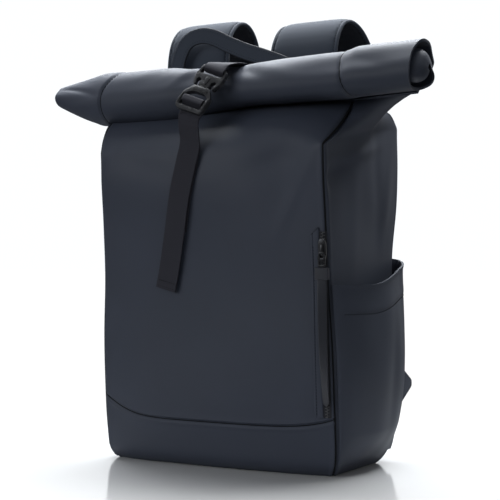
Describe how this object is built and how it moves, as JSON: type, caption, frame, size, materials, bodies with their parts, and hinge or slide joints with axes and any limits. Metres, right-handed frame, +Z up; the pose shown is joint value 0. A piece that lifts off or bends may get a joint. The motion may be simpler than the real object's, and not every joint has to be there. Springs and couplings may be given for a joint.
{
  "type": "rolltop backpack",
  "caption": "Free-standing cloth backpack with a rolled top held by a webbing strap and buckle, a side pocket, a front zip, a carry handle and padded shoulder straps",
  "frame": {"origin": "the middle of the flat base panel, on the floor that the bag stands on", "axes": "+X to the wearer's-view right side with the pocket, +Y to the back panel and the shoulder straps, so the front faces -Y, and +Z up"},
  "size_m": [0.461, 0.2325, 0.4841],
  "materials": {
    "cloth": "matte coated cloth with a soft sheen",
    "padded_cloth": "matte coated cloth over foam",
    "webbing": "fine ribbed weave",
    "zip": "zip tape with plastic teeth",
    "plastic": "satin moulded plastic",
    "metal": "black painted metal"
  },
  "bodies": {
    "root": {"front_panel": "cloth", "front_band": "cloth", "base_panel": "cloth", "back_panel": "cloth", "side_panel_right": "cloth", "side_panel_left": "cloth", "rolled_mouth": "cloth", "side_pocket": "cloth", "zip_welt": "cloth", "zip_tape": "zip", "zip_slider": "metal", "zip_puller": "metal", "zip_pull_strap": "webbing", "closure_strap_front": "webbing", "closure_strap_back": "webbing", "buckle_socket": "plastic", "buckle_plug": "plastic", "carry_handle": "webbing", "shoulder_strap_right": "padded_cloth", "shoulder_strap_left": "padded_cloth", "strap_tab_right": "cloth", "strap_tab_left": "cloth", "ladder_lock_right": "plastic", "ladder_lock_left": "plastic", "strap_webbing_right": "webbing", "strap_webbing_left": "webbing"}
  },
  "joints": []
}
